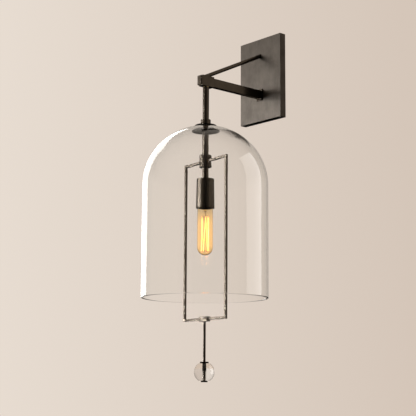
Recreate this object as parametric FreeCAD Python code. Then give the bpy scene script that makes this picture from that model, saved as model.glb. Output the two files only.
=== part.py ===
import FreeCAD, Part
import math
import os

from FreeCAD import Placement, Rotation, Vector

# Hanging pendant wall sconce, in millimetres.
# Origin: centre of the back face of the wall plate. +X right, +Y into the wall, +Z up.
# A rectangular plate carries a flat arm and a round strut. They meet in an end block, and
# the lantern hangs below that block: stem, glass cloche, square-bar frame, lamp socket and
# tubular bulb, and a crystal ball on a drop rod.

# ---------------------------------------------------------------- driving dimensions
# wall plate: a pan that is open towards the wall
plate_width = 121.0
plate_height = 180.0
plate_depth = 15.0
plate_wall = 2.0
plate_edge_round = 0.5

# mounting strap inside the plate, screwed to the wall box
strap_width = 32.0
strap_thickness = 2.0
strap_ear_depth = 11.0
strap_end_gap = 0.3
box_screw_spacing = 88.9
box_slot_width = 5.0
box_slot_length = 12.0
strap_wire_hole_radius = 10.0
ground_screw_radius = 2.0
ground_screw_height = 24.0
set_screw_radius = 2.0
set_screw_grip = 1.5

# screws and nuts
screw_clearance = 0.25
pan_head_radius = 3.6
pan_head_height = 2.4
screw_slot_width = 0.8
screw_slot_depth = 0.8

# arm: flat rectangular tube
arm_reach = 167.7
arm_drop = 33.3
arm_width = 10.0
arm_height = 18.0
arm_wall = 1.2
arm_edge_round = 0.5
flange_width = 17.0
flange_height = 24.6
flange_thickness = 2.6
root_plug_length = 14.0
root_screw_radius = 1.75
root_screw_web = 0.4
root_screw_bite = 9.0
wire_hole_radius = 2.1

# end block that joins arm, strut and stem
block_width = 14.0
block_height = 22.0
block_length = 31.0
block_overhang = 14.5
block_socket_depth = 9.0
block_cavity_width = 11.6
block_cavity_height = 15.0
block_edge_round = 0.6
cap_width = 13.4
cap_height = 19.0
cap_depth = 4.0
cap_corner_round = 2.6
cap_spigot_depth = 2.5

# strut: round rod from the top of the plate down to the end block
strut_radius = 4.0
strut_plate_height = 52.5
strut_stud_radius = 2.5
strut_foot_radius = 2.0
strut_nut_flats = 8.0
strut_nut_height = 4.0
strut_washer_radius = 5.0
strut_washer_thickness = 1.0

# swivel at the top of the stem
swivel_head_clearance = 0.2
swivel_head_height = 3.0
swivel_shank_length = 14.0
swivel_running_gap = 0.05
thrust_washer_radius = 6.2
thrust_washer_thickness = 0.8
wireway_radius = 3.1

# stem tubes and the threaded nipple through the glass
stem_radius = 6.35
upper_stem_length = 67.8
lower_stem_length = 50.25
socket_stem_length = 23.5
nipple_radius = 4.75
nipple_engagement = 14.0
fit_gap = 0.05

# pieces that clamp the glass
collar_radius = 10.0
collar_height = 11.9
top_washer_radius = 22.0
top_washer_thickness = 2.0
upper_gasket_radius = 20.0
upper_gasket_thickness = 0.85
lower_gasket_radius = 25.0
lower_gasket_thickness = 0.8
holder_radius = 28.4
holder_thickness = 3.5
holder_chamfer = 3.0
holder_rim = 0.4
turned_edge = 0.5

# glass cloche
glass_radius = 125.2
glass_height = 344.75
glass_thickness = 3.5
glass_crown_radius = 160.0
glass_shoulder_inset = 5.0
glass_hole_clearance = 1.75
glass_rim_round = 1.4

# hub that carries the frame
hub_radius = 12.0
hub_ring_height = 6.3
hub_body_height = 10.6
hub_groove = 1.0
hub_groove_depth = 1.6
hub_pocket_depth = 5.0

# square-bar frame
frame_width = 137.0
frame_height = 314.5
frame_bar = 4.8
frame_bar_edge = 0.3
frame_turn = -5.5
foot_block_length = 25.4
foot_block_size = 9.5

# drop rod and crystal ball
drop_rod_radius = 2.5
drop_length = 77.8
ball_radius = 20.0
ball_flat_height = 16.5
ball_running_gap = 0.06
ball_top_play = 0.2
ball_washer_radius = 8.5
ball_washer_thickness = 3.0
finial_radius = 6.6
finial_height = 3.0
finial_skin = 0.8

# lamp socket
cup_top_radius = 17.4
cup_mouth_radius = 18.4
cup_height = 59.0
cup_wall = 1.4
cup_top_thickness = 2.5
cup_nut_flats = 15.0
cup_nut_height = 4.0
insulator_gap = 0.25
insulator_length = 31.0
insulator_head = 6.0
screw_shell_wall = 0.5
screw_shell_length = 19.0
contact_width = 5.0
contact_thickness = 0.5

# tubular bulb
bulb_radius = 15.7
bulb_length = 140.0
bulb_wall = 0.9
bulb_neck_gap = 0.1
bulb_neck_length = 9.0
bulb_shoulder_length = 9.0
bulb_base_radius = 13.05
bulb_base_wall = 0.4
bulb_base_length = 19.0
bulb_tip_length = 4.0
bulb_tip_radius = 7.5
bulb_contact_radius = 4.5
bulb_contact_height = 1.6
bulb_contact_gap = 0.1
bulb_thread_gap = 0.08

# filament and the glass mount that holds it
mount_flare_radius = 9.5
mount_press_radius = 2.6
mount_flare_length = 22.0
mount_press_length = 14.0
filament_wire_radius = 0.3
filament_strands = 10
filament_circle_radius = 7.4
filament_length = 68.0
filament_drop = 11.2
lead_wire_radius = 0.35
lead_spread = 1.4
spoke_radius = 0.25

# ---------------------------------------------------------------- levels down the lantern
block_top = -arm_drop + block_height / 2
block_bottom = -arm_drop - block_height / 2
cavity_floor = -arm_drop - block_cavity_height / 2
upper_stem_top = block_bottom - swivel_running_gap - thrust_washer_thickness
collar_top = upper_stem_top - upper_stem_length
top_washer_top = collar_top - collar_height
upper_gasket_top = top_washer_top - top_washer_thickness
glass_top = upper_gasket_top - upper_gasket_thickness - fit_gap
glass_inner_top = glass_top - glass_thickness
lower_gasket_top = glass_inner_top - fit_gap
holder_top = lower_gasket_top - lower_gasket_thickness - fit_gap
lower_stem_top = holder_top - holder_thickness
hub_top = lower_stem_top - lower_stem_length
hub_body_top = hub_top - hub_ring_height - hub_groove
frame_top = hub_body_top - hub_body_height / 2
hub_bottom_ring_top = hub_body_top - hub_body_height
socket_stem_top = hub_bottom_ring_top - hub_groove - hub_ring_height
cup_top = socket_stem_top - socket_stem_length
cup_ceiling = cup_top - cup_top_thickness
insulator_top = cup_ceiling - cup_nut_height
nipple_top = collar_top + nipple_engagement
nipple_bottom = insulator_top - insulator_head / 2
shell_top = insulator_top - insulator_head
contact_bottom = shell_top - contact_thickness
bulb_top = contact_bottom - bulb_contact_gap
bulb_bottom = bulb_top - bulb_length
frame_bottom = frame_top - frame_height
foot_block_bottom = frame_bottom - foot_block_size / 2
ball_washer_top = foot_block_bottom - drop_length
ball_top = ball_washer_top - ball_washer_thickness - ball_top_play
ball_centre = ball_top - ball_flat_height
finial_top = ball_centre - ball_flat_height - ball_running_gap

hanging_axis = Vector(0, -arm_reach, 0)
frame_spin = Rotation(Vector(0, 0, 1), frame_turn)


# ---------------------------------------------------------------- shape helpers
def block(x_low, x_high, y_low, y_high, z_low, z_high):
    """A box between two corners."""
    size = Vector(x_high - x_low, y_high - y_low, z_high - z_low)
    return Part.makeBox(size.x, size.y, size.z, Vector(x_low, y_low, z_low))


def centred_block(width, y_low, y_high, height, z_centre):
    """A box centred on x = 0 and on a height."""
    return block(-width / 2, width / 2, y_low, y_high, z_centre - height / 2, z_centre + height / 2)


def disc(radius, z_top, height):
    """A plain cylinder on the z axis that reaches down from z_top."""
    return Part.makeCylinder(radius, height, Vector(0, 0, z_top - height))


def y_pin(radius, y_low, length, x, z):
    """A cylinder along +Y."""
    return Part.makeCylinder(radius, length, Vector(x, y_low, z), Vector(0, 1, 0))


def turned(points):
    """Revolve a closed outline of (radius, height) points about the z axis."""
    corners = [Vector(radius, 0, height) for radius, height in points]
    outline = Part.makePolygon(corners + corners[:1])
    return Part.Face(outline).revolve(Vector(0, 0, 0), Vector(0, 0, 1), 360)


def ring(outer_radius, inner_radius, z_top, height, edge=0.0):
    """A ring on the z axis with its two outer edges chamfered."""
    z_bottom = z_top - height
    points = [(inner_radius, z_top), (outer_radius - edge, z_top)]
    if edge > 0:
        points += [(outer_radius, z_top - edge), (outer_radius, z_bottom + edge)]
    points += [(outer_radius - edge, z_bottom), (inner_radius, z_bottom)]
    return turned(points)


def hexagon(flats, z_top, height):
    """A hexagonal prism on the z axis that reaches down from z_top."""
    corner_radius = flats / math.sqrt(3)
    angles = [math.radians(60 * step) for step in range(6)]
    corners = [Vector(corner_radius * math.cos(a), corner_radius * math.sin(a), z_top) for a in angles]
    face = Part.Face(Part.makePolygon(corners + corners[:1]))
    return face.extrude(Vector(0, 0, -height))


def lying_back(shape, x, y, z):
    """Turn a shape built on the z axis so that its +Z points along +Y, and move it."""
    placed = shape.copy()
    placed.Placement = Placement(Vector(x, y, z), Rotation(Vector(1, 0, 0), -90))
    return placed


def rounded_edges(shape, radius, wanted):
    """Fillet the edges that a test on the edge picks out."""
    edges = [edge for edge in shape.Edges if wanted(edge)]
    return shape.makeFillet(radius, edges) if edges else shape


def runs_along(edge, axis):
    """True for a straight edge that is parallel to an axis."""
    ends = edge.Vertexes
    if len(ends) != 2:
        return False
    run = ends[1].Point.sub(ends[0].Point)
    return run.Length > 0 and abs(abs(run.dot(axis)) - run.Length) < 1e-6


def hung(shape):
    """Move a shape built on the z axis to the hanging axis."""
    return shape.translated(hanging_axis)


def hung_in_frame(shape):
    """Turn a shape with the frame, and move it to the hanging axis."""
    return shape.transformed(Placement(hanging_axis, frame_spin).toMatrix())


def pan_screw(radius, length):
    """A pan-head screw on the z axis: shank below z = 0, slotted head above it."""
    shank = disc(radius, 0, length)
    head = disc(pan_head_radius, pan_head_height, pan_head_height)
    slot = block(-pan_head_radius, pan_head_radius, -screw_slot_width / 2, screw_slot_width / 2,
                 pan_head_height - screw_slot_depth, pan_head_height)
    return shank.fuse(head).cut(slot).removeSplitter()


# ---------------------------------------------------------------- wall bracket
def root_plug_height():
    return arm_height - 2 * arm_wall - 2 * fit_gap


def root_screw_heights():
    """The two screws stand as far apart as the plug in the arm's root allows."""
    reach = root_plug_height() / 2 - root_screw_web - root_screw_radius - fit_gap
    return [-arm_drop - reach, -arm_drop + reach]


def backplate():
    """Pan with a front, four sides and an open back."""
    shell = centred_block(plate_width, -plate_depth, 0, plate_height, 0)
    shell = rounded_edges(shell, plate_edge_round, lambda edge: edge.BoundBox.YMin < -plate_edge_round)
    shell = shell.cut(centred_block(plate_width - 2 * plate_wall, plate_wall - plate_depth, 0,
                                    plate_height - 2 * plate_wall, 0))
    for height in root_screw_heights():
        shell = shell.cut(y_pin(root_screw_radius + screw_clearance, -plate_depth, plate_wall, 0, height))
    shell = shell.cut(y_pin(wire_hole_radius, -plate_depth, plate_wall, 0, -arm_drop))
    shell = shell.cut(y_pin(strut_stud_radius + fit_gap, -plate_depth, plate_wall, 0, strut_plate_height))
    screw_bore = Part.makeCylinder(set_screw_radius + fit_gap, plate_height,
                                   Vector(0, set_screw_y(), -plate_height / 2))
    return shell.cut(screw_bore)


def set_screw_y():
    return -(strap_ear_depth + strap_thickness) / 2


def strap_half_length():
    return plate_height / 2 - plate_wall - strap_end_gap


def slot_cutter(z_centre):
    """Vertical slot for a wall-box screw."""
    half_run = (box_slot_length - box_slot_width) / 2
    cutter = centred_block(box_slot_width, -strap_thickness, 0, 2 * half_run, z_centre)
    for end in (z_centre - half_run, z_centre + half_run):
        cutter = cutter.fuse(y_pin(box_slot_width / 2, -strap_thickness, strap_thickness, 0, end))
    return cutter


def mounting_strap():
    """Flat strap against the wall with an ear at each end for the set screws."""
    half = strap_half_length()
    strap = centred_block(strap_width, -strap_thickness, 0, 2 * half, 0)
    for low, high in ((half - strap_thickness, half), (-half, strap_thickness - half)):
        strap = strap.fuse(block(-strap_width / 2, strap_width / 2, -strap_ear_depth, 0, low, high))
    for side in (-1, 1):
        strap = strap.cut(slot_cutter(side * box_screw_spacing / 2))
    strap = strap.cut(y_pin(strap_wire_hole_radius, -strap_thickness, strap_thickness, 0, 0))
    strap = strap.cut(y_pin(ground_screw_radius + fit_gap, -strap_thickness, strap_thickness, 0,
                            ground_screw_height))
    ear_bore = Part.makeCylinder(set_screw_radius + fit_gap, 2 * half, Vector(0, set_screw_y(), -half))
    return strap.cut(ear_bore).removeSplitter()


def strap_ground_screw():
    screw = pan_screw(ground_screw_radius, strap_thickness)
    facing_room = Rotation(Vector(1, 0, 0), 90)
    screw.Placement = Placement(Vector(0, -strap_thickness, ground_screw_height), facing_room)
    return screw


def plate_set_screws():
    """One headless screw through the top edge and one through the bottom edge."""
    length = plate_wall + strap_end_gap + strap_thickness + set_screw_grip
    top = disc(set_screw_radius, plate_height / 2, length)
    top = top.cut(block(-set_screw_radius, set_screw_radius, -screw_slot_width / 2, screw_slot_width / 2,
                        plate_height / 2 - screw_slot_depth, plate_height / 2))
    top = top.translated(Vector(0, set_screw_y(), 0))
    bottom = top.mirror(Vector(0, 0, 0), Vector(0, 0, 1))
    return Part.makeCompound([top, bottom])


def arm_tube():
    """Flat tube from the plate into the socket of the end block."""
    front = block_socket_bottom()
    tube = centred_block(arm_width, front, -plate_depth, arm_height, -arm_drop)
    tube = rounded_edges(tube, arm_edge_round, lambda edge: runs_along(edge, Vector(0, 1, 0)))
    return tube.cut(centred_block(arm_width - 2 * arm_wall, front, -plate_depth,
                                  arm_height - 2 * arm_wall, -arm_drop))


def arm_flange():
    """Thin plate around the root of the arm."""
    flange = centred_block(flange_width, -plate_depth - flange_thickness, -plate_depth,
                           flange_height, -arm_drop)
    flange = rounded_edges(flange, arm_edge_round, lambda edge: runs_along(edge, Vector(0, 1, 0)))
    return flange.cut(centred_block(arm_width + 2 * fit_gap, -plate_depth - flange_thickness, -plate_depth,
                                    arm_height + 2 * fit_gap, -arm_drop))


def arm_root_plug():
    """Solid plug in the arm's root that the two plate screws pull on."""
    plug = centred_block(arm_width - 2 * arm_wall - 2 * fit_gap, -plate_depth - root_plug_length,
                         -plate_depth, root_plug_height(), -arm_drop)
    for height in root_screw_heights():
        plug = plug.cut(y_pin(root_screw_radius + fit_gap, -plate_depth - root_plug_length,
                              root_plug_length, 0, height))
    return plug.cut(y_pin(wire_hole_radius, -plate_depth - root_plug_length, root_plug_length,
                          0, -arm_drop))


def arm_root_screws():
    """Two screws from inside the plate into the arm's root."""
    head_seat = plate_wall - plate_depth
    screw = pan_screw(root_screw_radius, plate_wall + root_screw_bite)
    return Part.makeCompound([lying_back(screw, 0, head_seat, height) for height in root_screw_heights()])


def block_front():
    return -arm_reach - block_overhang


def block_rear():
    return block_front() + block_length


def block_socket_bottom():
    return block_rear() - block_socket_depth


def end_block():
    """Hollow block: arm socket at the rear, swivel cavity in the middle, open front."""
    body = centred_block(block_width, block_front(), block_rear(), block_height, -arm_drop)
    body = rounded_edges(body, block_edge_round, lambda edge: True)
    body = body.cut(centred_block(arm_width + 2 * fit_gap, block_socket_bottom(), block_rear(),
                                  arm_height + 2 * fit_gap, -arm_drop))
    body = body.cut(centred_block(block_cavity_width, block_front(), block_socket_bottom(),
                                  block_cavity_height, -arm_drop))
    body = body.cut(hung(disc(nipple_radius + swivel_running_gap, cavity_floor,
                              cavity_floor - block_bottom)))
    return body.cut(hung(disc(strut_foot_radius + fit_gap, block_top, strut_foot_length())))


def end_block_cap():
    """Cover on the front of the end block, with a spigot in the cavity."""
    cap = centred_block(cap_width, block_front() - cap_depth, block_front(), cap_height, -arm_drop)
    cap = rounded_edges(cap, cap_corner_round, lambda edge: runs_along(edge, Vector(0, 0, 1))
                        and edge.BoundBox.YMax < block_front() - cap_depth / 2)
    spigot = centred_block(block_cavity_width - 2 * fit_gap, block_front(),
                           block_front() + cap_spigot_depth, block_cavity_height - 2 * fit_gap, -arm_drop)
    return cap.fuse(spigot).removeSplitter()


def strut_foot_length():
    return (block_height - block_cavity_height) / 2


def strut_rod():
    """Sloping rod, cut flat on the plate and on the block, with a stud at each end."""
    foot = Vector(0, -arm_reach, block_top)
    head = Vector(0, -plate_depth, strut_plate_height)
    run = head.sub(foot)
    spare = run.normalize() * (4 * strut_radius)
    start = foot.sub(spare)
    length = head.add(spare).sub(start).Length
    rod = Part.makeCylinder(strut_radius, length, start, run)
    rod = rod.common(centred_block(4 * strut_radius, -2 * arm_reach, -plate_depth,
                                   2 * plate_height, block_top + plate_height))
    stud = y_pin(strut_stud_radius, -plate_depth, plate_wall + strut_washer_thickness + strut_nut_height,
                 0, strut_plate_height)
    foot_stud = hung(disc(strut_foot_radius, block_top, strut_foot_length()))
    return rod.fuse(stud).fuse(foot_stud).removeSplitter()


def strut_washer():
    washer = ring(strut_washer_radius, strut_stud_radius + fit_gap, strut_washer_thickness,
                  strut_washer_thickness)
    return lying_back(washer, 0, plate_wall - plate_depth, strut_plate_height)


def strut_nut():
    nut = hexagon(strut_nut_flats, strut_nut_height, strut_nut_height)
    nut = nut.cut(disc(strut_stud_radius + fit_gap, strut_nut_height, strut_nut_height))
    return lying_back(nut, 0, plate_wall - plate_depth + strut_washer_thickness, strut_plate_height)


# ---------------------------------------------------------------- stem and glass clamp
def swivel_stud():
    """Headed hollow stud: the head turns on the cavity floor, the stem screws on below."""
    head_bottom = cavity_floor + swivel_running_gap
    head_radius = block_cavity_width / 2 - swivel_head_clearance
    head = disc(head_radius, head_bottom + swivel_head_height, swivel_head_height)
    shank_bottom = block_bottom - swivel_shank_length
    shank = disc(nipple_radius, head_bottom, head_bottom - shank_bottom)
    wireway = disc(wireway_radius, head_bottom + swivel_head_height,
                   head_bottom + swivel_head_height - shank_bottom)
    return hung(head.fuse(shank).cut(wireway).removeSplitter())


def thrust_washer():
    return hung(ring(thrust_washer_radius, nipple_radius + fit_gap,
                     upper_stem_top + thrust_washer_thickness, thrust_washer_thickness))


def upper_stem():
    return hung(ring(stem_radius, nipple_radius + fit_gap, upper_stem_top, upper_stem_length))


def glass_nipple():
    """Threaded nipple from the upper stem through glass and hub into the lamp socket."""
    return hung(ring(nipple_radius, wireway_radius, nipple_top, nipple_top - nipple_bottom))


def glass_collar():
    return hung(ring(collar_radius, nipple_radius + fit_gap, collar_top, collar_height, turned_edge))


def top_washer():
    return hung(ring(top_washer_radius, nipple_radius + fit_gap, top_washer_top,
                     top_washer_thickness, turned_edge))


def crown_ball(radius):
    """Ball that gives the top of the cloche its curve, or that of an offset of it."""
    return Part.makeSphere(radius, Vector(0, 0, glass_top - glass_crown_radius))


def upper_gasket():
    """Flat above, and hollow below to sit on the crown of the glass."""
    sag = glass_crown_radius - math.sqrt(glass_crown_radius ** 2 - upper_gasket_radius ** 2)
    gasket = ring(upper_gasket_radius, nipple_radius + fit_gap, upper_gasket_top,
                  upper_gasket_thickness + sag)
    return hung(gasket.cut(crown_ball(glass_crown_radius + fit_gap)))


def cloche_wire(inset):
    """Half outline of the cloche, inset by a wall: crown arc, shoulder arc and wall."""
    shoulder_radius = glass_radius - glass_shoulder_inset
    crown_centre = glass_top - glass_crown_radius
    centre_distance = glass_crown_radius - shoulder_radius
    shoulder_z = crown_centre + math.sqrt(centre_distance ** 2 - glass_shoulder_inset ** 2)
    crown = glass_crown_radius - inset
    shoulder = shoulder_radius - inset
    blend_angle = math.asin(glass_shoulder_inset / centre_distance)

    def crown_point(angle):
        return Vector(crown * math.sin(angle), 0, crown_centre + crown * math.cos(angle))

    def shoulder_point(angle):
        return Vector(glass_shoulder_inset + shoulder * math.sin(angle), 0,
                      shoulder_z + shoulder * math.cos(angle))

    start_angle = math.asin((nipple_radius + glass_hole_clearance) / crown)
    middle_angle = (blend_angle + math.pi / 2) / 2
    crown_arc = Part.Arc(crown_point(start_angle), crown_point((start_angle + blend_angle) / 2),
                         crown_point(blend_angle))
    shoulder_arc = Part.Arc(shoulder_point(blend_angle), shoulder_point(middle_angle),
                            shoulder_point(math.pi / 2))
    wall = Part.LineSegment(shoulder_point(math.pi / 2),
                            Vector(glass_radius - inset, 0, glass_top - glass_height))
    return [crown_arc.toShape(), shoulder_arc.toShape(), wall.toShape()]


def glass_cloche():
    """Thick bell of clear glass with a ground hole at the top and a fire-rounded rim."""
    outer = cloche_wire(0)
    inner = cloche_wire(glass_thickness)
    rim = Part.LineSegment(outer[-1].Vertexes[-1].Point, inner[-1].Vertexes[-1].Point).toShape()
    hole = Part.LineSegment(outer[0].Vertexes[0].Point, inner[0].Vertexes[0].Point).toShape()
    edges = Part.sortEdges(outer + inner + [rim, hole])[0]
    glass = Part.Face(Part.Wire(edges)).revolve(Vector(0, 0, 0), Vector(0, 0, 1), 360)
    rim_height = glass_top - glass_height
    glass = rounded_edges(glass, glass_rim_round, lambda edge: edge.BoundBox.ZMax < rim_height + fit_gap)
    return hung(glass)


def lower_gasket():
    """Thin curved ring between the glass and the holder disc."""
    upper = crown_ball(glass_crown_radius - glass_thickness - fit_gap)
    lower = crown_ball(glass_crown_radius - glass_thickness - fit_gap - lower_gasket_thickness)
    reach = lower_gasket_radius
    band = ring(reach, nipple_radius + fit_gap, glass_top, glass_crown_radius)
    return hung(upper.common(band).cut(lower))


def holder_disc():
    """Disc under the glass: domed above, flat below, with a wide chamfer."""
    z_bottom = lower_stem_top
    blank = turned([(nipple_radius + fit_gap, glass_top), (holder_radius, glass_top),
                    (holder_radius, z_bottom + holder_rim), (holder_radius - holder_chamfer, z_bottom),
                    (nipple_radius + fit_gap, z_bottom)])
    dome = crown_ball(glass_crown_radius - glass_thickness - lower_gasket_thickness - 2 * fit_gap)
    return hung(blank.common(dome))


def lower_stem():
    return hung(ring(stem_radius, nipple_radius + fit_gap, lower_stem_top, lower_stem_length))


# ---------------------------------------------------------------- hub and frame
def hub_ring(z_top, neck_below):
    """Chamfered ring with a short neck that leaves a groove beside the hub body."""
    body = ring(hub_radius, nipple_radius + fit_gap, z_top, hub_ring_height, turned_edge)
    neck_top = z_top - hub_ring_height if neck_below else z_top + hub_groove
    neck = ring(hub_radius - hub_groove_depth, nipple_radius + fit_gap, neck_top, hub_groove)
    return hung(body.fuse(neck).removeSplitter())


def hub_top_ring():
    return hub_ring(hub_top, True)


def hub_bottom_ring():
    return hub_ring(socket_stem_top + hub_ring_height, False)


def hub_body():
    """Middle of the hub, with a pocket on each side for the frame's top bars."""
    body = ring(hub_radius, nipple_radius + fit_gap, hub_body_top, hub_body_height, turned_edge)
    pocket = frame_bar / 2 + fit_gap
    for low in (-hub_radius, hub_radius - hub_pocket_depth):
        body = body.cut(block(low, low + hub_pocket_depth, -pocket, pocket,
                              frame_top - pocket, frame_top + pocket))
    return hung_in_frame(body)


def square_bar(x_low, x_high, z_low, z_high, axis):
    """A length of square bar in the frame's plane with its long edges eased."""
    half = frame_bar / 2
    bar = block(x_low, x_high, -half, half, z_low, z_high)
    bar = rounded_edges(bar, frame_bar_edge, lambda edge: runs_along(edge, axis))
    return hung_in_frame(bar)


def frame_top_bar(side):
    half = frame_bar / 2
    inner = hub_radius - hub_pocket_depth
    outer = frame_width / 2 - half
    low, high = (inner, outer) if side > 0 else (-outer, -inner)
    return square_bar(low, high, frame_top - half, frame_top + half, Vector(1, 0, 0))


def frame_side_rod(side):
    half = frame_bar / 2
    centre = side * frame_width / 2
    return square_bar(centre - half, centre + half, frame_bottom - half, frame_top + half,
                      Vector(0, 0, 1))


def frame_bottom_bar():
    half = frame_bar / 2
    reach = frame_width / 2 - half
    return square_bar(-reach, reach, frame_bottom - half, frame_bottom + half, Vector(1, 0, 0))


def foot_block():
    """Small block that grips the bottom bar and takes the drop rod."""
    half_length = foot_block_length / 2
    half_size = foot_block_size / 2
    body = block(-half_length, half_length, -half_size, half_size, foot_block_bottom,
                 foot_block_bottom + foot_block_size)
    body = rounded_edges(body, turned_edge, lambda edge: True)
    passage = frame_bar / 2 + fit_gap
    body = body.cut(block(-half_length, half_length, -passage, passage,
                          frame_bottom - passage, frame_bottom + passage))
    rod_hole = disc(drop_rod_radius + fit_gap, frame_bottom - frame_bar / 2,
                    frame_bottom - frame_bar / 2 - foot_block_bottom)
    return hung_in_frame(body.cut(rod_hole))


# ---------------------------------------------------------------- drop rod and ball
def drop_rod():
    rod_top = frame_bottom - frame_bar / 2 - fit_gap
    rod_bottom = finial_top - finial_height + finial_skin
    return hung(disc(drop_rod_radius, rod_top, rod_top - rod_bottom))


def ball_washer():
    return hung(ring(ball_washer_radius, drop_rod_radius + fit_gap, ball_washer_top,
                     ball_washer_thickness, turned_edge))


def crystal_ball():
    """Drilled glass ball with a flat above and a flat below."""
    ball = Part.makeSphere(ball_radius, Vector(0, 0, ball_centre))
    slab = disc(2 * ball_radius, ball_top, 2 * ball_flat_height)
    bore = disc(drop_rod_radius + ball_running_gap, ball_top, 2 * ball_flat_height)
    return hung(ball.common(slab).cut(bore))


def finial_nut():
    """Closed disc nut at the end of the drop rod."""
    nut = ring(finial_radius, 0, finial_top, finial_height, turned_edge)
    return hung(nut.cut(disc(drop_rod_radius + fit_gap, finial_top, finial_height - finial_skin)))


# ---------------------------------------------------------------- lamp socket
def socket_stem():
    return hung(ring(stem_radius, nipple_radius + fit_gap, socket_stem_top, socket_stem_length))


def cup_radius_at(z):
    """Outer radius of the tapered cup at a height."""
    share = (cup_top - z) / cup_height
    return cup_top_radius + share * (cup_mouth_radius - cup_top_radius)


def socket_cup():
    """Slightly tapered metal cup, open below."""
    mouth = cup_top - cup_height
    bore = nipple_radius + fit_gap
    return hung(turned([(bore, cup_top), (cup_top_radius - turned_edge, cup_top),
                        (cup_radius_at(cup_top - turned_edge), cup_top - turned_edge),
                        (cup_mouth_radius, mouth), (cup_mouth_radius - cup_wall, mouth),
                        (cup_radius_at(cup_ceiling) - cup_wall, cup_ceiling), (bore, cup_ceiling)]))


def cup_nut():
    """Hexagon nut that clamps the cup to the end of the nipple."""
    nut = hexagon(cup_nut_flats, cup_ceiling, cup_nut_height)
    return hung(nut.cut(disc(nipple_radius + fit_gap, cup_ceiling, cup_nut_height)))


def shell_inner_radius():
    return bulb_base_radius + bulb_thread_gap


def insulator_radius():
    return cup_radius_at(insulator_top) - cup_wall - insulator_gap


def socket_insulator():
    """Moulded body under the nut that holds the screw shell and the centre contact."""
    bore = nipple_radius + fit_gap
    bottom = insulator_top - insulator_length
    shell_seat = shell_inner_radius() + screw_shell_wall + fit_gap
    return hung(turned([(bore, insulator_top), (insulator_radius(), insulator_top),
                        (insulator_radius(), bottom), (shell_seat, bottom),
                        (shell_seat, shell_top), (wireway_radius, shell_top),
                        (wireway_radius, nipple_bottom - fit_gap), (bore, nipple_bottom - fit_gap)]))


def screw_shell():
    """Thin metal shell that the bulb screws into."""
    top_edge = contact_bottom - bulb_contact_gap - bulb_contact_height
    return hung(ring(shell_inner_radius() + screw_shell_wall, shell_inner_radius(), top_edge,
                     screw_shell_length))


def centre_contact():
    """Flat contact tongue on the ceiling of the insulator."""
    half = contact_width / 2
    return hung(block(-half, shell_inner_radius(), -half, half, contact_bottom, shell_top))


# ---------------------------------------------------------------- bulb
def base_top():
    return bulb_top - bulb_contact_height - bulb_tip_length


def base_bottom():
    return base_top() - bulb_base_length


def bulb_contact():
    return hung(disc(bulb_contact_radius, bulb_top, bulb_contact_height))


def bulb_tip_insulator():
    """Dark glass cone between the centre contact and the screw base."""
    z_top = bulb_top - bulb_contact_height
    return hung(turned([(0, z_top), (bulb_contact_radius, z_top), (bulb_tip_radius, z_top - fit_gap),
                        (bulb_base_radius - bulb_base_wall, base_top()), (0, base_top())]))


def bulb_base():
    """Thin screw base, closed above by the tip insulator."""
    return hung(ring(bulb_base_radius, bulb_base_radius - bulb_base_wall, base_top(), bulb_base_length))


def bulb_outline(inset):
    """Half outline of the bulb's glass, inset by a wall, from the neck to the round end."""
    neck = bulb_base_radius - bulb_base_wall - bulb_neck_gap - inset
    body = bulb_radius - inset
    neck_top = base_bottom() + bulb_neck_length - inset
    shoulder_top = base_bottom() - fit_gap
    shoulder_bottom = shoulder_top - bulb_shoulder_length
    end_centre = bulb_bottom + bulb_radius
    slant = math.radians(45)
    end_middle = Vector(body * math.sin(slant), 0, end_centre - body * math.cos(slant))
    return [
        Part.LineSegment(Vector(0, 0, neck_top), Vector(neck, 0, neck_top)).toShape(),
        Part.LineSegment(Vector(neck, 0, neck_top), Vector(neck, 0, shoulder_top)).toShape(),
        Part.LineSegment(Vector(neck, 0, shoulder_top), Vector(body, 0, shoulder_bottom)).toShape(),
        Part.LineSegment(Vector(body, 0, shoulder_bottom), Vector(body, 0, end_centre)).toShape(),
        Part.Arc(Vector(body, 0, end_centre), end_middle, Vector(0, 0, end_centre - body)).toShape(),
    ]


def bulb_solid(inset):
    edges = bulb_outline(inset)
    axis = Part.LineSegment(edges[-1].Vertexes[-1].Point, edges[0].Vertexes[0].Point).toShape()
    wire = Part.Wire(Part.sortEdges(edges + [axis])[0])
    return Part.Face(wire).revolve(Vector(0, 0, 0), Vector(0, 0, 1), 360)


def bulb_glass():
    """Hollow tubular envelope with a round end."""
    return hung(bulb_solid(0).cut(bulb_solid(bulb_wall)))


def mount_top():
    """Ceiling inside the bulb, which the glass mount hangs from."""
    return base_bottom() + bulb_neck_length - bulb_wall - fit_gap


def mount_bottom():
    return mount_top() - mount_flare_length - mount_press_length


def bulb_mount():
    """Glass flare that narrows to a solid press inside the bulb."""
    press_top = mount_top() - mount_flare_length
    return hung(turned([(0, mount_top()), (mount_flare_radius, mount_top()),
                        (mount_press_radius, press_top), (mount_press_radius, mount_bottom()),
                        (0, mount_bottom())]))


def filament_corner(index):
    """Bend number index of the filament: even bends are up, odd bends are down."""
    angle = 2 * math.pi * index / (filament_strands + 1)
    level = mount_bottom() - filament_drop - (index % 2) * filament_length
    return Vector(filament_circle_radius * math.cos(angle), filament_circle_radius * math.sin(angle), level)


def wire_between(start, end, radius):
    """Straight round wire."""
    run = end.sub(start)
    return Part.makeCylinder(radius, run.Length, start, run)


def filament():
    """Strands that run up and down around a circle, with a round bend at each end."""
    corners = [filament_corner(index) for index in range(filament_strands + 1)]
    runs = [wire_between(start, end, filament_wire_radius) for start, end in zip(corners, corners[1:])]
    bends = [Part.makeSphere(filament_wire_radius, corner) for corner in corners]
    return hung(runs[0].fuse(runs[1:] + bends).removeSplitter())


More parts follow.
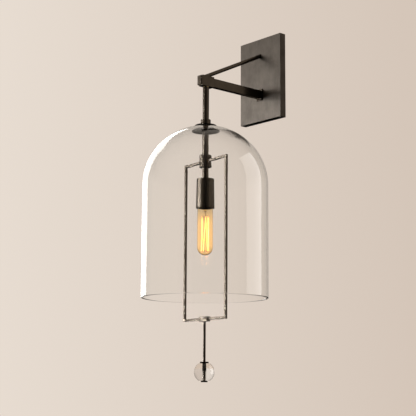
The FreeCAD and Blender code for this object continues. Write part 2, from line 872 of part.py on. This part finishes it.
def filament_supports():
    """Centre wire with a spoke to each bend of the filament between its two ends."""
    lowest = filament_corner(1).z
    centre = Vector(0, 0, mount_bottom() - fit_gap)
    wires = [wire_between(centre, Vector(0, 0, lowest), lead_wire_radius)]
    reach = filament_circle_radius - filament_wire_radius - fit_gap
    for index in range(1, filament_strands):
        corner = filament_corner(index)
        hub = Vector(0, 0, corner.z)
        wires.append(wire_between(hub, hub + (corner - hub).normalize() * reach, spoke_radius))
    return hung(wires[0].fuse(wires[1:]).removeSplitter())


def lead_wire(start, end):
    """Wire from the press to an end of the filament, stopped just short of it."""
    run = end.sub(start)
    short = filament_wire_radius + fit_gap
    return Part.makeCylinder(lead_wire_radius, run.Length - short, start, run)


def lead_wires():
    """The two wires that carry the filament's ends."""
    level = mount_bottom() - fit_gap
    first = lead_wire(Vector(lead_spread, 0, level), filament_corner(0))
    last = lead_wire(Vector(0, -lead_spread, level), filament_corner(filament_strands))
    return hung(Part.makeCompound([first, last]))


# ---------------------------------------------------------------- files
NODES = {
    "backplate": backplate,
    "mounting_strap": mounting_strap,
    "strap_ground_screw": strap_ground_screw,
    "plate_set_screws": plate_set_screws,
    "arm_tube": arm_tube,
    "arm_flange": arm_flange,
    "arm_root_plug": arm_root_plug,
    "arm_root_screws": arm_root_screws,
    "end_block": end_block,
    "end_block_cap": end_block_cap,
    "strut_rod": strut_rod,
    "strut_washer": strut_washer,
    "strut_nut": strut_nut,
    "swivel_stud": swivel_stud,
    "thrust_washer": thrust_washer,
    "upper_stem": upper_stem,
    "glass_nipple": glass_nipple,
    "glass_collar": glass_collar,
    "top_washer": top_washer,
    "upper_gasket": upper_gasket,
    "glass_cloche": glass_cloche,
    "lower_gasket": lower_gasket,
    "holder_disc": holder_disc,
    "lower_stem": lower_stem,
    "hub_top_ring": hub_top_ring,
    "hub_body": hub_body,
    "hub_bottom_ring": hub_bottom_ring,
    "frame_top_bar_left": lambda: frame_top_bar(-1),
    "frame_top_bar_right": lambda: frame_top_bar(1),
    "frame_side_rod_left": lambda: frame_side_rod(-1),
    "frame_side_rod_right": lambda: frame_side_rod(1),
    "frame_bottom_bar": frame_bottom_bar,
    "foot_block": foot_block,
    "drop_rod": drop_rod,
    "ball_washer": ball_washer,
    "crystal_ball": crystal_ball,
    "finial_nut": finial_nut,
    "socket_stem": socket_stem,
    "socket_cup": socket_cup,
    "cup_nut": cup_nut,
    "socket_insulator": socket_insulator,
    "screw_shell": screw_shell,
    "centre_contact": centre_contact,
    "bulb_contact": bulb_contact,
    "bulb_tip_insulator": bulb_tip_insulator,
    "bulb_base": bulb_base,
    "bulb_glass": bulb_glass,
    "bulb_mount": bulb_mount,
    "filament": filament,
    "filament_supports": filament_supports,
    "lead_wires": lead_wires,
}

os.makedirs("parts", exist_ok=True)
for name, make in NODES.items():
    shape = make()
    assert shape.isValid(), name
    shape.exportStep("parts/" + name + ".step")
    print(name, len(shape.Solids), "solid(s)", round(shape.Volume, 1), "mm3")
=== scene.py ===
import math

import bpy
from mathutils import Matrix, Vector


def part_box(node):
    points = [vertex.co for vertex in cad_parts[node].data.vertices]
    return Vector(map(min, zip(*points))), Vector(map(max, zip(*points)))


# Hanging pendant wall sconce: finishes, studio and camera around the fixed frame.
# Metres, +X right, +Y into the wall, +Z up, origin on the wall behind the plate.
# Headings are degrees around the lantern's axis: 0 is into the wall, 90 is to the left.

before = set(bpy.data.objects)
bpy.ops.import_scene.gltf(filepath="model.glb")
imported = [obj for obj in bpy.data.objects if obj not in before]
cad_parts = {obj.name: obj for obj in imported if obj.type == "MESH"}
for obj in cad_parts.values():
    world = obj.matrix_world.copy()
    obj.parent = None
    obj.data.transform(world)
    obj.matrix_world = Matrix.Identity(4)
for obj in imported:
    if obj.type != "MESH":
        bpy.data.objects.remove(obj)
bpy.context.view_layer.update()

MM = 0.001

# ------------------------------------------------------------------ camera
CAMERA_PLACE = Vector((1.57294, -1.54115, -0.63819))
CAMERA_HEADING = 48.723
CAMERA_PITCH = 9.388
CAMERA_ROLL = 0.32
CAMERA_LENS = 92.13
CAMERA_SENSOR = 36.0
CAMERA_CLIP_START = 0.05

# ------------------------------------------------------------------ studio
BACKDROP = (0.665, 0.565, 0.485)
BACKDROP_LIGHT = (0.80, 0.715, 0.635)
ROOM_WALL = (0.52, 0.46, 0.40)
ROOM_FRONT = (0.30, 0.255, 0.205)
ROOM_DARK = (0.012, 0.010, 0.009)
FLOOR_COLOUR = (0.72, 0.66, 0.60)
FLOOR_GLOW = (0.42, 0.34, 0.28)
FLOOR_HEIGHT = -2.9
FLOOR_RADIUS = 9.0
FLOOR_SIDES = 128
BACKDROP_LIGHTENS = (38, 60)        # headings between which the backdrop turns lighter
WALL_SIDE_FADE = (-0.1, 0.55)       # cosines, away from the camera's own heading
BEHIND_FADE = (0.60, 0.97)          # cosines, away from straight behind the camera
BELOW_FADE = (0.02, -0.10)          # upward part of a direction

# ------------------------------------------------------------------ lamps
LANTERN_MIDDLE = -0.30
SOFTBOX_DISTANCE = 2.0
SOFTBOX_COLOUR = (1.0, 0.98, 0.95)
KEY_STRIP = {"heading": 139, "height": -0.05, "size": (1.70, 0.80), "radiance": 5.0}
LEFT_CARD = {"heading": 82.5, "height": 0.15, "size": (1.44, 2.6), "radiance": 4.2}
RIGHT_CARD = {"heading": -33.0, "height": 0.0, "size": (1.57, 2.6), "radiance": 2.8}
BULB_POWER = 0.5
BULB_LIGHT_COLOUR = (1.0, 0.55, 0.22)
BULB_LIGHT_RADIUS = 6 * MM

# ------------------------------------------------------------------ finishes
BLACK = (0.0, 0.0, 0.0)
PATINA_WAVES = (38, 38, 30)
# Width of the lighter metal edges: partly rubbed wear, partly a painted edge highlight.
EDGE_WEAR_AND_HIGHLIGHT_WIDTH = 0.9 * MM
GRAIN_DEPTH = 0.05 * MM
FILAMENT_GLOW = 5.0
# Painted glow: amber emission on the bulb glass itself over the filament's height.
PAINTED_GLOW_COLOUR = (1.0, 0.50, 0.10)
PAINTED_GLOW_STRENGTH = 0.11
PAINTED_GLOW_FADE = 12 * MM
TURNED_DISCS = ("holder_disc", "top_washer", "ball_washer", "finial_nut")


# ------------------------------------------------------------------ shader graph helpers
def add(tree, kind, inputs=None, **settings):
    """Add a node. An input is a value, or a socket to link from."""
    node = tree.nodes.new("ShaderNode" + kind)
    for name, value in settings.items():
        setattr(node, name, value)
    for name, value in (inputs or {}).items():
        if isinstance(value, bpy.types.NodeSocket):
            tree.links.new(value, node.inputs[name])
        else:
            node.inputs[name].default_value = value
    return node


def maths(tree, operation, first, second=0.0):
    return add(tree, "Math", {0: first, 1: second}, operation=operation).outputs[0]


def opaque(colour):
    return (*colour, 1.0)


def blend_colour(tree, factor, low, high):
    node = add(tree, "Mix", {"Factor": factor}, data_type="RGBA")
    for socket, colour in ((6, low), (7, high)):
        if isinstance(colour, bpy.types.NodeSocket):
            tree.links.new(colour, node.inputs[socket])
        else:
            node.inputs[socket].default_value = opaque(colour)
    return node.outputs[2]


def scaled_place(tree, scale):
    """Position in the piece's own frame, times a scale for each axis."""
    place = add(tree, "TexCoord").outputs["Object"]
    return add(tree, "Mapping", {"Vector": place, "Scale": scale}).outputs[0]


def noise(tree, scale, detail=3.0, roughness=0.5):
    """Grey noise with this many waves to the metre along each axis."""
    place = scaled_place(tree, scale)
    node = add(tree, "TexNoise", {"Vector": place, "Scale": 1.0, "Detail": detail, "Roughness": roughness})
    return node.outputs[0]


def stretch(tree, value, low, high, to_low=0.0, to_high=1.0):
    return add(tree, "MapRange", {"Value": value, "From Min": low, "From Max": high, "To Min": to_low,
                                  "To Max": to_high}).outputs[0]


def edge_mask(tree, radius, sharpness):
    """1 on the piece's edges, 0 on its faces."""
    rounded = add(tree, "Bevel", {"Radius": radius}, samples=4).outputs[0]
    true = add(tree, "NewGeometry").outputs["Normal"]
    likeness = add(tree, "VectorMath", {0: rounded, 1: true}, operation="DOT_PRODUCT").outputs["Value"]
    return stretch(tree, likeness, 1.0, 1.0 - sharpness)


def new_material(name):
    material = bpy.data.materials.new(name)
    material.use_nodes = True
    tree = material.node_tree
    return material, tree, tree.nodes["Principled BSDF"]


def link(tree, socket, node, name):
    tree.links.new(socket, node.inputs[name])


# ------------------------------------------------------------------ metals
def brushed_metal(name, low, high, wear_and_highlight_colour, grain, roughness, wear_and_highlight_amount=0.6, tint=0.4):
    """Oxidised metal: cloudy patina, fine brushed grain, and lighter edges, partly rubbed wear and partly a
    painted edge highlight.
    """
    material, tree, surface = new_material(name)
    patina = stretch(tree, noise(tree, PATINA_WAVES, 4.0, 0.6), 0.32, 0.68)
    lines = stretch(tree, noise(tree, grain, 4.0, 0.65), 0.3, 0.7)
    tone = maths(tree, "ADD", maths(tree, "MULTIPLY", patina, 0.45), maths(tree, "MULTIPLY", lines, 0.55))
    skin = blend_colour(tree, tone, low, high)
    # Lighter colour on the edges: partly rubbed wear, partly a painted edge highlight.
    edge_wear_and_highlight = maths(tree, "MULTIPLY", edge_mask(tree, EDGE_WEAR_AND_HIGHLIGHT_WIDTH, 0.25), wear_and_highlight_amount)
    link(tree, blend_colour(tree, edge_wear_and_highlight, skin, wear_and_highlight_colour), surface, "Base Color")
    link(tree, stretch(tree, tone, 0.0, 1.0, roughness[1], roughness[0]), surface, "Roughness")
    bump = add(tree, "Bump", {"Height": lines, "Strength": 0.22, "Distance": GRAIN_DEPTH})
    link(tree, bump.outputs[0], surface, "Normal")
    surface.inputs["Metallic"].default_value = 1.0
    surface.inputs["Specular Tint"].default_value = opaque(3 * (tint,))
    return material


def bronze():
    return brushed_metal("dark_bronze", (0.10, 0.085, 0.070), (0.19, 0.165, 0.14), (0.34, 0.30, 0.25),
                         (1500, 1500, 90), (0.16, 0.26), wear_and_highlight_amount=0.35)


def plate_bronze():
    return brushed_metal("brushed_plate", (0.095, 0.085, 0.076), (0.185, 0.166, 0.148), (0.36, 0.32, 0.28),
                         (2200, 2200, 30), (0.34, 0.50), wear_and_highlight_amount=0.5)


def turned_bronze():
    """Smoother and darker than the rest: discs turned on a lathe."""
    return brushed_metal("turned_bronze", (0.030, 0.026, 0.022), (0.065, 0.055, 0.046), (0.20, 0.17, 0.14),
                         (900, 900, 900), (0.07, 0.13), wear_and_highlight_amount=0.5)


def zinc_steel():
    return brushed_metal("zinc_steel", (0.42, 0.42, 0.41), (0.66, 0.66, 0.64), (0.8, 0.8, 0.78),
                         (700, 700, 700), (0.26, 0.42), tint=1.0)


def brass():
    return brushed_metal("brass", (0.55, 0.38, 0.15), (0.78, 0.60, 0.30), (0.9, 0.76, 0.45),
                         (900, 900, 200), (0.2, 0.34), tint=1.0)


def support_wire():
    return brushed_metal("support_wire", (0.30, 0.28, 0.26), (0.5, 0.47, 0.43), (0.6, 0.56, 0.5),
                         (2500, 2500, 400), (0.25, 0.4), wear_and_highlight_amount=0.0, tint=1.0)


# ------------------------------------------------------------------ other solid finishes
def speckled(name, low, high, roughness, grain, depth, coat=0.0):
    """Moulded or painted skin with a slightly uneven tone, gloss and surface."""
    material, tree, surface = new_material(name)
    tone = stretch(tree, noise(tree, (grain, grain, grain), 5.0, 0.6), 0.3, 0.7)
    link(tree, blend_colour(tree, tone, low, high), surface, "Base Color")
    link(tree, stretch(tree, tone, 0.0, 1.0, roughness[0], roughness[1]), surface, "Roughness")
    bump = add(tree, "Bump", {"Height": tone, "Strength": 0.3, "Distance": depth})
    link(tree, bump.outputs[0], surface, "Normal")
    surface.inputs["Coat Weight"].default_value = coat
    return material


def ground_green():
    return speckled("ground_green", (0.015, 0.14, 0.04), (0.04, 0.26, 0.08), (0.25, 0.4), 400, 0.03 * MM,
                    coat=0.5)


def rubber():
    return speckled("rubber", (0.012, 0.012, 0.012), (0.035, 0.034, 0.033), (0.6, 0.8), 900, 0.08 * MM)


def phenolic():
    return speckled("phenolic", (0.010, 0.009, 0.008), (0.028, 0.024, 0.021), (0.3, 0.48), 600, 0.03 * MM)


def black_glass():
    return speckled("black_glass", (0.006, 0.006, 0.008), (0.02, 0.02, 0.026), (0.06, 0.16), 500, 0.02 * MM,
                    coat=0.6)


# ------------------------------------------------------------------ glass
def glass(name, colour, index, waves, depth, glint):
    """Clear glass with a faint drawn waviness. It lets lamp light straight through."""
    material, tree, surface = new_material(name)
    surface.inputs["Base Color"].default_value = opaque(colour)
    surface.inputs["Roughness"].default_value = 0.0
    surface.inputs["IOR"].default_value = index
    surface.inputs["Transmission Weight"].default_value = 1.0
    surface.inputs["Specular Tint"].default_value = opaque(3 * (glint,))
    ripple = noise(tree, waves, 2.0, 0.4)
    bump = add(tree, "Bump", {"Height": ripple, "Strength": 0.5, "Distance": depth})
    link(tree, bump.outputs[0], surface, "Normal")
    clear = add(tree, "BsdfTransparent", {"Color": opaque(colour)}).outputs[0]
    path = add(tree, "LightPath").outputs
    lamp_ray = maths(tree, "MAXIMUM", path["Is Shadow Ray"], path["Is Diffuse Ray"])
    both = add(tree, "MixShader", {0: lamp_ray, 1: surface.outputs[0], 2: clear}).outputs[0]
    link(tree, both, tree.nodes["Material Output"], "Surface")
    return material


def clear_glass():
    return glass("clear_glass", (0.995, 0.995, 0.99), 1.5, (14, 14, 5), 0.12 * MM, 0.5)


def crystal():
    return glass("crystal", (0.99, 0.99, 0.99), 1.54, (60, 60, 60), 0.01 * MM, 1.0)


def bulb_glass():
    """Clear lamp glass. Its surface emits a painted amber glow over the filament's height, fading above and
    below it, in place of haze lit by the filament.
    """
    material = glass("lamp_glass", (1.0, 0.88, 0.68), 1.47, (70, 70, 30), 0.03 * MM, 1.0)
    tree = material.node_tree
    # Painted glow: the glass emits amber light between the filament's lowest and highest points, in uneven
    # patches.
    low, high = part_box("filament")
    height = add(tree, "SeparateXYZ", {"Vector": scaled_place(tree, (1, 1, 1))}).outputs["Z"]
    above = stretch(tree, height, low.z - PAINTED_GLOW_FADE, low.z + PAINTED_GLOW_FADE)
    under = stretch(tree, height, high.z + PAINTED_GLOW_FADE, high.z - PAINTED_GLOW_FADE)
    painted_glow_patches = stretch(tree, noise(tree, (70, 70, 35)), 0.3, 0.7, 0.75, 1.0)
    painted_glow = maths(tree, "MULTIPLY", maths(tree, "MULTIPLY", above, under), painted_glow_patches)
    surface = tree.nodes["Principled BSDF"]
    surface.inputs["Emission Strength"].default_value = PAINTED_GLOW_STRENGTH
    link(tree, blend_colour(tree, painted_glow, BLACK, PAINTED_GLOW_COLOUR), surface, "Emission Color")
    return material


# ------------------------------------------------------------------ filament
def filament():
    """Glowing carbon loop: a little hotter and cooler by turns along its length."""
    material, tree, surface = new_material("filament_glow")
    heat = stretch(tree, noise(tree, (90, 90, 60), 3.0, 0.6), 0.3, 0.7)
    link(tree, blend_colour(tree, heat, (1.0, 0.40, 0.06), (1.0, 0.62, 0.20)), surface, "Emission Color")
    link(tree, blend_colour(tree, heat, (0.30, 0.12, 0.03), (0.5, 0.25, 0.08)), surface, "Base Color")
    surface.inputs["Emission Strength"].default_value = FILAMENT_GLOW
    surface.inputs["Roughness"].default_value = 0.6
    return material


FINISHES = {
    "bronze": bronze,
    "plate_bronze": plate_bronze,
    "zinc_steel": zinc_steel,
    "ground_green": ground_green,
    "brass": brass,
    "rubber": rubber,
    "clear_glass": clear_glass,
    "crystal": crystal,
    "phenolic": phenolic,
    "black_glass": black_glass,
    "bulb_glass": bulb_glass,
    "filament": filament,
    "support_wire": support_wire,
}


def dress_frame():
    """Give every carried-over piece the finish that its record slot names, then the turned
    discs their own smoother one."""
    made = {slot: make() for slot, make in FINISHES.items()}
    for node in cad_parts.values():
        for place in node.material_slots:
            place.material = made[place.material.name.split(".")[0]]
    discs = turned_bronze()
    for name in TURNED_DISCS:
        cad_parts[name].material_slots[0].material = discs


# ------------------------------------------------------------------ studio
def heading_of(tree, direction):
    """Heading of a direction, in radians."""
    parts = add(tree, "SeparateXYZ", {"Vector": direction}).outputs
    return maths(tree, "ARCTAN2", maths(tree, "MULTIPLY", parts["X"], -1.0), parts["Y"])


def toward(tree, direction, heading):
    """How far a direction points toward a heading: 1 straight at it, -1 straight away."""
    turn = math.radians(heading)
    target = Vector((-math.sin(turn), math.cos(turn), 0.0))
    return add(tree, "VectorMath", {0: direction, 1: target}, operation="DOT_PRODUCT").outputs["Value"]


def eye_and_mirror(tree):
    """1 where the eye looks straight on or through glass, and 1 where something mirrors."""
    path = add(tree, "LightPath").outputs
    mirrored = maths(tree, "GREATER_THAN", path["Glossy Depth"], 0.5)
    through = maths(tree, "MULTIPLY", path["Is Transmission Ray"], maths(tree, "SUBTRACT", 1.0, mirrored))
    return maths(tree, "MAXIMUM", path["Is Camera Ray"], through), mirrored


def studio_world():
    """Pale warm backdrop for the eye, also through glass. Everything that is lit or mirrored
    gets a plain room that is dark behind the camera and below."""
    world = bpy.data.worlds.new("studio")
    bpy.context.scene.world = world
    world.use_nodes = True
    tree = world.node_tree
    direction = add(tree, "TexCoord").outputs["Generated"]
    leftness = stretch(tree, heading_of(tree, direction), *map(math.radians, BACKDROP_LIGHTENS))
    backdrop = blend_colour(tree, leftness, BACKDROP, BACKDROP_LIGHT)
    wall_side = stretch(tree, toward(tree, direction, CAMERA_HEADING), *WALL_SIDE_FADE)
    room = blend_colour(tree, wall_side, ROOM_FRONT, ROOM_WALL)
    behind = stretch(tree, toward(tree, direction, CAMERA_HEADING + 180), *BEHIND_FADE)
    room = blend_colour(tree, behind, room, ROOM_DARK)
    below = stretch(tree, add(tree, "SeparateXYZ", {"Vector": direction}).outputs["Z"], *BELOW_FADE)
    room = blend_colour(tree, below, room, ROOM_DARK)
    seen = eye_and_mirror(tree)[0]
    link(tree, blend_colour(tree, seen, room, backdrop), tree.nodes["Background"], "Color")


def floor():
    """Wide pale disc far below the lantern, left out of reflections or dark in them."""
    bpy.ops.mesh.primitive_circle_add(vertices=FLOOR_SIDES, radius=FLOOR_RADIUS, fill_type="NGON",
                                      location=(0, 0, FLOOR_HEIGHT))
    disc = bpy.context.object
    disc.name = "studio_floor"
    material, tree, surface = new_material("studio_floor")
    seen, mirrored = eye_and_mirror(tree)
    link(tree, blend_colour(tree, mirrored, FLOOR_COLOUR, ROOM_DARK), surface, "Base Color")
    link(tree, blend_colour(tree, seen, BLACK, FLOOR_GLOW), surface, "Emission Color")
    surface.inputs["Emission Strength"].default_value = 1.0
    surface.inputs["Roughness"].default_value = 0.9
    disc.data.materials.append(material)
    disc.visible_glossy = False


def on_heading(heading, distance, height):
    """A point around the lantern's axis."""
    axis = (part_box("drop_rod")[0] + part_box("drop_rod")[1]) / 2
    angle = math.radians(heading)
    return Vector((axis.x - distance * math.sin(angle), axis.y + distance * math.cos(angle), height))


def softbox(name, heading, height, size, radiance):
    """Rectangular lamp that faces the lantern. Radiance 1 shows as plain white."""
    lamp = bpy.data.lights.new(name, "AREA")
    lamp.shape = "RECTANGLE"
    lamp.size, lamp.size_y = size
    lamp.energy = radiance * math.pi * size[0] * size[1]
    lamp.color = SOFTBOX_COLOUR
    holder = bpy.data.objects.new(name, lamp)
    bpy.context.scene.collection.objects.link(holder)
    holder.location = on_heading(heading, SOFTBOX_DISTANCE, height)
    aim = on_heading(0, 0, LANTERN_MIDDLE) - holder.location
    holder.rotation_euler = aim.to_track_quat("-Z", "Y").to_euler()
    holder.visible_camera = False
    holder.visible_transmission = False
    return holder


def glass_card(name, receivers, settings):
    """A softbox that only the named clear pieces take their white reflections from."""
    card = softbox(name, **settings)
    group = bpy.data.collections.new(name + "_receivers")
    for receiver in receivers:
        group.objects.link(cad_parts[receiver])
    card.light_linking.receiver_collection = group


def lamp_glow():
    """Warm light of the bulb on the socket, the frame and the glass."""
    low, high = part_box("filament")
    lamp = bpy.data.lights.new("bulb_light", "POINT")
    lamp.energy = BULB_POWER
    lamp.color = BULB_LIGHT_COLOUR
    lamp.shadow_soft_size = BULB_LIGHT_RADIUS
    holder = bpy.data.objects.new("bulb_light", lamp)
    bpy.context.scene.collection.objects.link(holder)
    holder.location = (low + high) / 2
    holder.visible_camera = False
    holder.visible_glossy = False
    holder.visible_transmission = False


def make_lights():
    key = softbox("key_strip", **KEY_STRIP)
    key.data.cycles.use_multiple_importance_sampling = False
    glass_card("left_card", ("glass_cloche",), LEFT_CARD)
    glass_card("right_card", ("glass_cloche", "crystal_ball"), RIGHT_CARD)


def make_camera():
    camera = bpy.data.cameras.new("camera")
    camera.sensor_width = CAMERA_SENSOR
    camera.lens = CAMERA_LENS
    camera.clip_start = CAMERA_CLIP_START
    holder = bpy.data.objects.new("camera", camera)
    bpy.context.scene.collection.objects.link(holder)
    turn = Matrix.Rotation(math.radians(CAMERA_HEADING), 4, "Z")
    pitch = Matrix.Rotation(math.radians(90 + CAMERA_PITCH), 4, "X")
    roll = Matrix.Rotation(math.radians(CAMERA_ROLL), 4, "Z")
    holder.matrix_world = Matrix.Translation(CAMERA_PLACE) @ turn @ pitch @ roll
    bpy.context.scene.camera = holder


dress_frame()
studio_world()
floor()
make_lights()
lamp_glow()
make_camera()
bpy.context.scene.view_settings.view_transform = "Standard"
